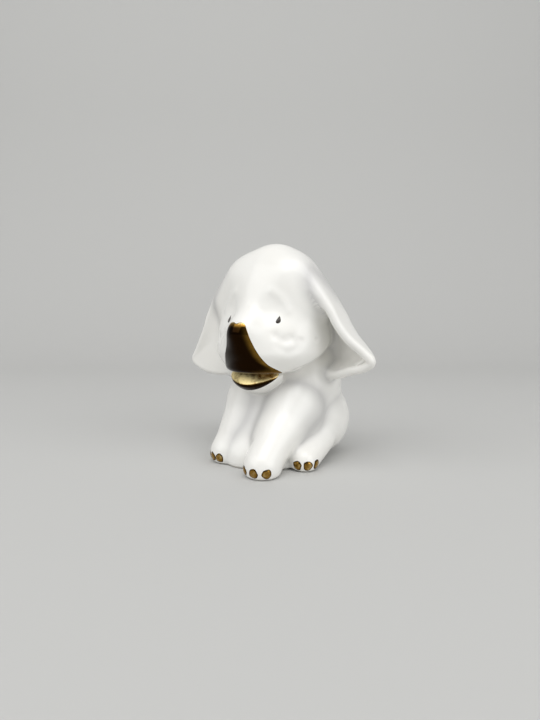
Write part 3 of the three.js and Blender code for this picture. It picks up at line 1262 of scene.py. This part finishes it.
@dataclass(frozen=True)
class Lustre(SubAssembly):
    """The gold on the trunk's underside and on the lower lip.

    Attributes:
        muzzle: the trunk and lip that it lies on.
        height: how far the trunk's gold stands off.
        lip_height: how far the lip's gold stands off.
        sink: how far the backs lie under the skin.
        flatness: the power by which the layers fall off at their edge.
        middle_height: height of the middle of the trunk's outline.
        root_depth: depth from which the trunk's rays start.
        root_height: height of the middle of those starts.
        root_spread: the share of the outline's size that the starts take up.
        face_front: the foremost place of the bowed sheet on which the outline is drawn.
        face_bow: how far that sheet bows back, for each square millimetre.
        outline: the trunk's outline, across and up.
        trunk_reach: a length that no ray stays in the trunk for.
        lip_root: where the lip's rays start.
        lip_half_turn: degrees to which the lip's gold goes to either side.
        lip_tilt: degrees that the middle of the lip's gold is tilted up.
        lip_above: degrees that it goes up from there.
        lip_below: degrees that it goes down from there.
        lip_point: the power that draws the lower edge to a point.
        lip_rise: degrees by which it follows the lip's bow up at the sides.
        lip_reach: a length that no ray stays in the lip for.
        tip_heights: between which heights the painted highlight along the trunk's tip grows.
        tip_thickness: how strong the painted highlight on the tip is.
        edge_range: how far out the painted reflection down the edge begins, and is whole.
        edge_side: how far to the left the painted reflection down the edge is whole.
        edge_thickness: how strong the painted reflection along the left edge is.
        lip_lit_slopes: between which upward slopes the painted highlight on the lip's gold grows.
        fineness: rows from the middle to the edge, and columns round it.
    """

    muzzle: Muzzle
    height: float = 0.06
    lip_height: float = 0.2
    sink: float = 0.3
    flatness: float = 40.0
    middle_height: float = 38.5
    root_depth: float = -10.0
    root_height: float = 36.0
    root_spread: float = 0.4
    face_front: float = -24.6
    face_bow: float = 0.066
    outline: tuple[Pair, ...] = (
        (12.2, 31.4), (8.7, 35.3), (6.4, 39.2), (4.9, 42.8), (3.9, 46.0), (2.9, 48.4), (1.4, 48.8),
        (0.2, 48.3), (-1.2, 48.9), (-2.9, 48.4), (-3.9, 46.0), (-4.9, 42.8), (-6.4, 39.2),
        (-8.7, 35.3), (-12.2, 31.4), (-6.0, 29.8), (0.0, 29.6), (6.0, 29.8),
    )
    trunk_reach: float = 30.0
    lip_root: Point = (-1, -9, 29.5)
    lip_half_turn: float = 78.0
    lip_tilt: float = 14.0
    lip_above: float = 24.0
    lip_below: float = 38.0
    lip_point: float = 1.2
    lip_rise: float = 13.0
    lip_reach: float = 20.0
    tip_heights: Pair = (46.8, 48.6)
    tip_thickness: float = 0.75
    edge_range: Pair = (0.6, 0.95)
    edge_side: float = 6.0
    edge_thickness: float = 0.3
    lip_lit_slopes: Pair = (0.0, 0.35)
    fineness: Fineness = Fineness(48, 144)

    def trunk_rays(self, out: Array, turn: Array) -> Rays:
        """Rays from inside the trunk to a bowed sheet, on which the outline is drawn as from the front.

        Args:
            out: how far from the middle of the outline, from 0 to 1.
            turn: how far round it, in radians.

        Returns:
            The rays' origins and directions.
        """
        edge = run_through(self.outline, turn / (2 * np.pi), closed=True)
        x = edge[..., 0] * out
        z = self.middle_height + (edge[..., 1] - self.middle_height) * out
        target = np.stack([x, self.face_front + self.face_bow * x**2, z], -1)
        root_z = self.root_height + (z - self.middle_height) * self.root_spread
        origins = np.stack([x * self.root_spread, np.full_like(x, self.root_depth), root_z], -1)
        return origins, unit(target - origins)

    def lip_rays(self, out: Array, turn: Array) -> Rays:
        """Rays that fan out from inside the lip, from its sloping face over the crest to its front.

        Args:
            out: how far from the middle of the gold, from 0 to 1.
            turn: how far round it, in radians.

        Returns:
            The rays' origins and directions.
        """
        heading = np.radians(self.lip_half_turn * np.cos(turn) * out)
        above = self.lip_above * np.sqrt(np.maximum(np.sin(turn), 0.0))
        below = self.lip_below * np.maximum(-np.sin(turn), 0.0) ** self.lip_point
        bow = self.lip_rise * np.sin(heading) ** 2
        angle = np.radians(self.lip_tilt + (above - below) * out + bow)
        across = np.sin(heading) * np.cos(angle)
        directions = np.stack([across, -np.cos(heading) * np.cos(angle), np.sin(angle)], -1)
        return np.broadcast_to(np.array(self.lip_root), directions.shape), directions

    def trunk_sheen(self, out: Array, seat: Array, normal: Array) -> Array:
        """Painted highlight along the trunk's tip, and a weaker painted reflection down its left edge.

        Args:
            out: how far from the middle of the outline, from 0 to 1.
            seat: points on the trunk.
            normal: their outward directions, which do not count here.

        Returns:
            The painted highlight's mark, from 0 to 1.
        """
        # The tip and the left edge are lightened as painted highlight and painted reflection
        tip = smooth_step(seat[..., 2], *self.tip_heights)
        edge = smooth_step(out, *self.edge_range) * smooth_step(seat[..., 0], 0.0, self.edge_side)
        return np.clip(self.tip_thickness * tip + self.edge_thickness * edge, 0.0, 1.0)

    def lip_sheen(self, out: Array, seat: Array, normal: Array) -> Array:
        """Painted highlight on the lip's upward sloping face, none over its front."""
        # Faces that tilt up are lightened as painted highlight
        return smooth_step(normal[..., 2], *self.lip_lit_slopes)

    def build(self, skin: Skin) -> list[Piece]:
        """Both gold layers. The lip's lies on the lip alone, because the trunk closes over it.

        Args:
            skin: the common skin.

        Returns:
            The trunk's gold and the lip's.
        """
        trunk = Patch("trunk_gold", Slot.GOLD, self.height, self.sink, self.flatness, self.fineness)
        lip = Patch("lower_lip_gold", Slot.GOLD, self.lip_height, self.sink, self.flatness, self.fineness)
        return [
            trunk.build(skin.level, self.trunk_rays, self.trunk_reach, self.trunk_sheen),
            lip.build(self.muzzle.lip_distance, self.lip_rays, self.lip_reach, self.lip_sheen),
        ]


@dataclass(frozen=True)
class Dabs(SubAssembly):
    """Single touches of the brush: the gold toenails and the dark eyes.

    Attributes:
        legs: the legs whose feet carry the nails.
        nail_half_width: half a nail's width.
        nail_half_height: half a nail's height.
        nail_rise: height of a nail's middle.
        nail_thickness: how far a nail stands off the foot.
        nail_reach: a length that no ray stays in a foot for.
        headings: each foot's name, the heading of its middle nail and the turn between nails.
        wobbles: waves round a nail's edge, each with its count, its size and its turn from nail to nail.
        eye_side: how far to its side an eye is painted.
        eye_shift: how far to the left both are painted.
        eye_height: height of an eye's middle.
        eye_half_widths: half the width of the left eye and of the right.
        eye_half_height: half an eye's height.
        eye_point: the power that draws an eye's upper end to a point.
        eye_fullness: what makes up for the width lost by that.
        eye_thickness: how far an eye stands off the face.
        eye_start: depth from which an eye's rays start.
        eye_reach: a length that no ray stays in the head for.
        sink: how far the backs lie under the skin.
        dome: the power by which a dab falls off towards its edge.
        thickness: how thick a touch was brushed in its middle, drawn lighter there as a painted sheen on
            the nails and a painted glint in the eyes.
        thin_range: how far out a touch begins to thin, and is thinnest.
        fineness: rows from the middle to the edge, and columns round it.
    """

    legs: Legs
    nail_half_width: float = 1.65
    nail_half_height: float = 1.7
    nail_rise: float = 2.4
    nail_thickness: float = 0.22
    nail_reach: float = 15.0
    headings: tuple[tuple[str, float, float], ...] = (
        ("left_front", 6.0, 41.0), ("right_front", -22.0, 30.0),
        ("left_hind", 46.0, 46.0), ("right_hind", -46.0, 46.0),
    )
    wobbles: tuple[tuple[int, float, float], ...] = ((3, 0.05, 1.7), (5, 0.03, 1.0))
    eye_side: float = 9.5
    eye_shift: float = 0.9
    eye_height: float = 49.4
    eye_half_widths: Pair = (0.82, 1.2)
    eye_half_height: float = 1.38
    eye_point: float = 1.5
    eye_fullness: float = 1.3
    eye_thickness: float = 0.15
    eye_start: float = -2.0
    eye_reach: float = 25.0
    sink: float = 0.2
    dome: float = 2.6
    thickness: float = 0.55
    thin_range: Pair = (0.6, 0.95)
    fineness: Fineness = Fineness(16, 48)

    def shade(self, out: Array, seat: Array, normal: Array) -> Array:
        """Thick in the middle of the touch, thin round its edge; the middle is a painted sheen on a nail
        and a painted glint in an eye.
        """
        # The lighter middle is painted sheen on nails and a painted glint in eyes
        return self.thickness * (1 - smooth_step(out, *self.thin_range))

    def nail(self, skin: Skin, node: str, foot: Array, heading: float, number: int) -> Piece:
        """A nail: a bead with a wavering edge, seen from inside the foot.

        Args:
            skin: the common skin.
            node: the nail's CAD node.
            foot: middle of the foot, on the ground.
            heading: the way the nail faces, in degrees from straight ahead.
            number: the nail's number, which turns its waves.

        Returns:
            The nail.
        """
        turn_to = np.radians(heading)
        forward = np.array([np.sin(turn_to), -np.cos(turn_to), 0.0])
        across = np.array([np.cos(turn_to), np.sin(turn_to), 0.0])

        def rays(out: Array, turn: Array) -> Rays:
            """Level rays through an oval whose edge wavers.

            Args:
                out: how far from the middle, from 0 to 1.
                turn: how far round it, in radians.

            Returns:
                The rays' origins and directions.
            """
            waves = [size * np.sin(count * turn + shift * number) for count, size, shift in self.wobbles]
            waver = 1 + sum(waves)
            side = self.nail_half_width * np.cos(turn) * out * waver
            rise = self.nail_rise + self.nail_half_height * np.sin(turn) * out * waver
            origins = np.array([*foot, 0.0]) + side[..., None] * across
            origins[..., 2] += rise
            return origins, np.broadcast_to(forward, origins.shape)

        patch = Patch(node, Slot.GOLD, self.nail_thickness, self.sink, self.dome, self.fineness)
        return patch.build(skin.level, rays, self.nail_reach, self.shade)

    def eye(self, skin: Skin, side: Side) -> Piece:
        """An eye: a drop with its point upwards, the sine narrowed by a power of the half turn's sine.

        Args:
            skin: the common skin.
            side: which eye.

        Returns:
            The eye.
        """
        half_width = self.eye_fullness * side.pick(self.eye_half_widths)

        def rays(out: Array, turn: Array) -> Rays:
            """Forward rays through the drop.

            Args:
                out: how far from the middle, from 0 to 1.
                turn: how far round it, in radians.

            Returns:
                The rays' origins and directions.
            """
            x = half_width * np.sin(turn) * np.sin(turn / 2) ** self.eye_point * out
            z = self.eye_half_height * np.cos(turn) * out
            across = side.value * self.eye_side + self.eye_shift + x
            origins = np.stack([across, np.full_like(x, self.eye_start), self.eye_height + z], -1)
            return origins, np.broadcast_to(np.array([0.0, -1.0, 0.0]), origins.shape)

        node = f"{side.word}_eye"
        patch = Patch(node, Slot.ENAMEL, self.eye_thickness, self.sink, self.dome, self.fineness)
        return patch.build(skin.level, rays, self.eye_reach, self.shade)

    def build(self, skin: Skin) -> list[Piece]:
        """Both eyes and all the nails.

        Args:
            skin: the common skin.

        Returns:
            The dabs.
        """
        made = [self.eye(skin, side) for side in Side]
        feet = {f"{side.word}_front": self.legs.front_foot(side) for side in Side}
        feet |= {f"{side.word}_hind": self.legs.hind_foot(side) for side in Side}
        number = 0
        for name, heading, spread in self.headings:
            for place in (1, 2, 3):
                number += 1
                facing = heading + (place - 2) * spread
                made.append(self.nail(skin, f"{name}_nail_{place}", feet[name], facing, number))
        return made


# Finishes


def linear(code: str) -> tuple[float, float, float, float]:
    """An sRGB hex colour as linear light, with full alpha.

    Args:
        code: the colour.

    Returns:
        Red, green, blue and alpha.
    """
    share = np.array([int(code[i:i + 2], 16) for i in (1, 3, 5)]) / 255
    glint_grey = np.where(share <= 0.04045, share / 12.92, ((share + 0.055) / 1.055) ** 2.4)
    return (*glint_grey.tolist(), 1.0)


def per_metre(size: float) -> float:
    """The noise scale that draws a pattern at a size in millimetres."""
    return 1 / (size * MM)


def add_node(tree: bpy.types.NodeTree, kind: str, inputs: dict, **settings: object) -> bpy.types.Node:
    """Adds a node.

    Args:
        tree: the tree it goes into.
        kind: the node's type, without the word that all shader nodes begin with.
        inputs: a value, or an output socket to link, for each input by name or number.
        settings: the node's own properties.

    Returns:
        The node.
    """
    made = tree.nodes.new(f"ShaderNode{kind}")
    for name, value in settings.items():
        setattr(made, name, value)
    for socket, value in inputs.items():
        if isinstance(value, bpy.types.NodeSocket):
            tree.links.new(value, made.inputs[socket])
        else:
            made.inputs[socket].default_value = value
    return made


def new_tree(name: str) -> tuple[bpy.types.Material, Callable[..., bpy.types.Node]]:
    """A material with an empty node tree.

    Args:
        name: the material's name.

    Returns:
        The material, and add_node for its tree.
    """
    material = bpy.data.materials.new(name)
    material.use_nodes = True
    material.node_tree.nodes.clear()
    return material, partial(add_node, material.node_tree)


@dataclass(frozen=True)
class GlazedPorcelain:
    """White porcelain under a clear gloss glaze, with a bare ground base."""

    # A smooth clear coat: soft gleams on white, greyer in the folds as pooled glaze and as painted shade
    white: str = "#f3f3f0"
    warm: str = "#f0eee8"
    # Grey of pooled glaze, and painted shade in the folds
    pool_and_shade: str = "#cdccca"
    bare: str = "#e6dfd2"
    cloud_mm: float = 14.0
    ripple_mm: float = 2.2
    ripple_depth_mm: float = 0.012
    roughness: float = 0.25
    bare_roughness: float = 0.75
    ior: float = 1.52

    def material(self) -> bpy.types.Material:
        """Builds the glaze: faint clouds, folds greyed by pooled glaze and painted shade, a bare base and
        a slight ripple.

        Returns:
            The material.
        """
        material, add = new_tree("glazed_porcelain")
        place = add("TexCoord", {}).outputs["Object"]
        clouds = add("TexNoise", {"Vector": place, "Scale": per_metre(self.cloud_mm), "Detail": 3.0})
        # Fold mark: pooled glaze and painted shade
        pooled_and_shaded = add("Attribute", {}, attribute_name="pooled_and_shaded").outputs["Fac"]
        bare = add("Attribute", {}, attribute_name="bare").outputs["Fac"]
        colour = linear(self.white)
        layers = ((clouds.outputs["Fac"], self.warm), (pooled_and_shaded, self.pool_and_shade), (bare, self.bare))
        for share, code in layers:
            colour = add("Mix", {0: share, 6: colour, 7: linear(code)}, data_type="RGBA").outputs[2]
        rough = add("MapRange", {"Value": bare, "To Min": self.roughness, "To Max": self.bare_roughness})
        ripple = add("TexNoise", {"Vector": place, "Scale": per_metre(self.ripple_mm), "Detail": 1.0})
        depth = self.ripple_depth_mm * MM
        bump = add("Bump", {"Height": ripple.outputs["Fac"], "Distance": depth, "Strength": 1.0})
        shader = add("BsdfPrincipled", {
            "Base Color": colour, "Roughness": rough.outputs[0],
            "IOR": self.ior, "Normal": bump.outputs[0],
        })
        add("OutputMaterial", {"Surface": shader.outputs[0]})
        return material


@dataclass(frozen=True)
class GoldLustre:
    """Liquid bright gold, brushed on by hand and fired."""

    # A mirror with painted reflection in its colour: deep brown stands for dark surroundings reflected
    # where the mark is low, bright yellow is a painted highlight where it is high
    # Painted dark reflection, standing for dark surroundings in the mirror
    deep: str = "#1f1206"
    brown: str = "#94702f"
    # Painted highlight
    bright: str = "#fbe9ae"
    # Brush streaks are a few tenths of a millimetre wide, and are drawn coarser so as to show
    streak_mm: float = 1.6
    streak_strength: float = 0.6
    streak_range: Pair = (0.3, 0.7)
    brown_at: float = 0.5
    roughness: float = 0.12
    thick_roughness: float = 0.5

    def material(self) -> bpy.types.Material:
        """Builds the gold: from deep brown, a painted dark reflection, through bronze to a bright painted
        highlight as the mark of brushed thickness and painted sheen grows.

        Returns:
            The material.
        """
        material, add = new_tree("gold_lustre")
        place = add("TexCoord", {}).outputs["Object"]
        thick = add("Attribute", {}, attribute_name="thick").outputs["Fac"]
        streaks = add("TexNoise", {"Vector": place, "Scale": per_metre(self.streak_mm), "Detail": 4.0})
        low, high = self.streak_range
        waver = add("MapRange", {
            "Value": streaks.outputs["Fac"], "From Min": low, "From Max": high,
            "To Min": -self.streak_strength / 2, "To Max": self.streak_strength / 2,
        })
        wavered = add("Math", {0: thick, 1: waver.outputs[0], 2: thick}, operation="MULTIPLY_ADD")
        brushed = wavered.outputs[0]
        lower = add("MapRange", {"Value": brushed, "From Max": self.brown_at}).outputs[0]
        upper = add("MapRange", {"Value": brushed, "From Min": self.brown_at}).outputs[0]
        # Deep brown stands for reflected dark surroundings, bright yellow for painted highlights
        colour = linear(self.deep)
        for share, code in ((lower, self.brown), (upper, self.bright)):
            colour = add("Mix", {0: share, 6: colour, 7: linear(code)}, data_type="RGBA").outputs[2]
        rough = add("MapRange", {
            "Value": brushed, "From Min": self.brown_at,
            "To Min": self.roughness, "To Max": self.thick_roughness,
        }).outputs[0]
        shader = add("BsdfPrincipled", {"Base Color": colour, "Metallic": 1.0, "Roughness": rough})
        add("OutputMaterial", {"Surface": shader.outputs[0]})
        return material


@dataclass(frozen=True)
class EyeEnamel:
    """Dark brown overglaze enamel, touched on with a brush and fired."""

    # A glossy bead with a painted glint: lighter in its middle
    dark: str = "#17110f"
    glint_grey: str = "#6a625c"
    mottle_mm: float = 0.9
    roughness: float = 0.15

    def material(self) -> bpy.types.Material:
        """Builds the enamel: mottled from dark to a painted glint by the middle mark.

        Returns:
            The material.
        """
        material, add = new_tree("eye_enamel")
        place = add("TexCoord", {}).outputs["Object"]
        mottle = add("TexNoise", {"Vector": place, "Scale": per_metre(self.mottle_mm)})
        middle = add("Attribute", {}, attribute_name="thick").outputs["Fac"]
        share = add("Math", {0: middle, 1: mottle.outputs["Fac"]}, operation="MULTIPLY").outputs[0]
        # The lighter middle is a painted glint
        colour = add("Mix", {0: share, 6: linear(self.dark), 7: linear(self.glint_grey)}, data_type="RGBA")
        shader = add("BsdfPrincipled", {"Base Color": colour.outputs[2], "Roughness": self.roughness})
        add("OutputMaterial", {"Surface": shader.outputs[0]})
        return material


# The studio, in metres


def place_matrix(right: Array, up: Array, back: Array, at: Array) -> Matrix:
    """The placing of something that looks along minus its own Z.

    Args:
        right: its right.
        up: its up.
        back: the way it looks away from.
        at: where it stands.

    Returns:
        The matrix.
    """
    placing = np.eye(4)
    placing[:3] = np.stack([right, up, back, at], -1)
    return Matrix(placing.tolist())


@dataclass(frozen=True)
class Lamp:
    """A square soft lamp: its name, where it hangs, the length of its sides and its watts."""

    name: str
    place: Point
    size: float
    power: float

    def build(self, target: Array) -> None:
        """Adds the lamp.

        Args:
            target: what it is aimed at.
        """
        data = bpy.data.lights.new(self.name, "AREA")
        data.shape = "SQUARE"
        data.size = self.size
        data.energy = self.power
        lamp = bpy.data.objects.new(self.name, data)
        back = unit(np.array(self.place) - target)
        right = unit(np.cross([0.0, 0.0, 1.0], back))
        lamp.matrix_world = place_matrix(right, np.cross(back, right), back, np.array(self.place))
        bpy.context.scene.collection.objects.link(lamp)


@dataclass(frozen=True)
class Studio:
    """A pale sweep, soft lamps and the camera at the photograph's angle.

    Attributes:
        camera_turn: degrees from the calf's front to its left.
        camera_rise: degrees above the level.
        camera_distance: how far the camera stands from its target.
        target_height: height of the target.
        target_offset: how far to the picture's right of the calf the target lies.
        lens: focal length in millimetres.
        sensor: width of the picture plane in millimetres.
        nearest: nearest place the camera sees.
        floor_colour: colour of the sweep.
        floor_roughness: roughness of the sweep.
        floor_front: how far the floor comes forward.
        floor_reach: how far behind the calf the floor begins to curve up.
        floor_half_width: half the sweep's width.
        cove_radius: radius of the curve.
        cove_steps: points along the curve.
        wall_height: height of the wall.
        world_strength: strength of the light from all round.
        lamps: the lamps.
    """

    camera_turn: float = 34.0
    camera_rise: float = 6.0
    camera_distance: float = 0.179
    target_height: float = 0.0345
    target_offset: float = -0.0031
    lens: float = 25.0
    sensor: float = 36.0
    nearest: float = 0.01
    floor_colour: str = "#c6c6c4"
    floor_roughness: float = 0.9
    floor_front: float = 2.0
    floor_reach: float = 0.25
    floor_half_width: float = 3.0
    cove_radius: float = 0.35
    cove_steps: int = 24
    wall_height: float = 1.1
    world_strength: float = 0.34
    lamps: tuple[Lamp, ...] = (
        Lamp("key_lamp", (0.25, -0.4, 1.0), 0.8, 5.4),
        Lamp("fill_lamp", (-0.4, -0.8, 0.6), 0.9, 3.8),
        Lamp("side_lamp", (0.95, -0.1, 0.4), 0.8, 3.8),
    )

    def build(self) -> None:
        """Adds floor, lamps, world and camera."""
        turn, rise = np.radians([self.camera_turn, self.camera_rise])
        back = np.array([np.sin(turn) * np.cos(rise), -np.cos(turn) * np.cos(rise), np.sin(rise)])
        right = np.array([np.cos(turn), np.sin(turn), 0.0])
        target = self.target_offset * right + np.array([0, 0, self.target_height])
        self.build_sweep(right, back)
        for lamp in self.lamps:
            lamp.build(target)
        scene = bpy.context.scene
        scene.world = bpy.data.worlds.new("studio_air")
        scene.world.use_nodes = True
        air = scene.world.node_tree.nodes["Background"].inputs
        air["Color"].default_value = (1.0, 1.0, 1.0, 1.0)
        air["Strength"].default_value = self.world_strength
        scene.view_settings.view_transform = "Standard"
        data = bpy.data.cameras.new("camera")
        data.lens = self.lens
        data.sensor_width = self.sensor
        data.clip_start = self.nearest
        camera = bpy.data.objects.new("camera", data)
        stand = target + self.camera_distance * back
        camera.matrix_world = place_matrix(right, np.cross(back, right), back, stand)
        scene.collection.objects.link(camera)
        scene.camera = camera

    def build_sweep(self, right: Array, back: Array) -> None:
        """A floor that curves up into a wall behind the calf: a profile carried along the wall.

        Args:
            right: the camera's right.
            back: the way the camera looks away from.
        """
        away = unit(-back * np.array([1, 1, 0]))
        bend = np.linspace(0, np.pi / 2, self.cove_steps)
        cove = self.floor_reach + self.cove_radius * np.sin(bend)
        depth = np.concatenate([[-self.floor_front], cove, cove[-1:]])
        height = np.concatenate([[0.0], self.cove_radius * (1 - np.cos(bend)), [self.wall_height]])
        profile = depth[:, None] * away + height[:, None] * np.array([0, 0, 1.0])
        along = np.array([-self.floor_half_width, self.floor_half_width])
        points = profile[:, None] + along[None, :, None] * right
        first = np.arange(len(depth) - 1) * 2
        faces = np.stack([first, first + 1, first + 3, first + 2], -1)
        mesh = bpy.data.meshes.new("floor")
        mesh.from_pydata(points.reshape(-1, 3).tolist(), [], faces.tolist())
        mesh.shade_smooth()
        material, add = new_tree("matt_paper_sweep")
        colour = linear(self.floor_colour)
        shader = add("BsdfPrincipled", {"Base Color": colour, "Roughness": self.floor_roughness})
        add("OutputMaterial", {"Surface": shader.outputs[0]})
        mesh.materials.append(material)
        floor = bpy.data.objects.new("floor", mesh)
        bpy.context.scene.collection.objects.link(floor)


def main() -> None:
    """Builds the calf piece by piece, then the studio."""
    logging.basicConfig(level=logging.INFO, format="%(message)s")
    body, head, muzzle, legs = Body(), Head(), Muzzle(), Legs()
    ears = (left_ear(), right_ear())
    joining_order = (body, head, *ears, legs, muzzle)
    skin = Skin(tuple(member for part in joining_order for member in part.members()))
    finishes = {
        Slot.PORCELAIN: GlazedPorcelain().material(),
        Slot.GOLD: GoldLustre().material(),
        Slot.ENAMEL: EyeEnamel().material(),
    }
    for part in (body, head, muzzle, *ears, legs, Tail(body), Lustre(muzzle), Dabs(legs)):
        part.dress(part.build(skin), finishes)
    Studio().build()


if __name__ == "__main__":
    main()
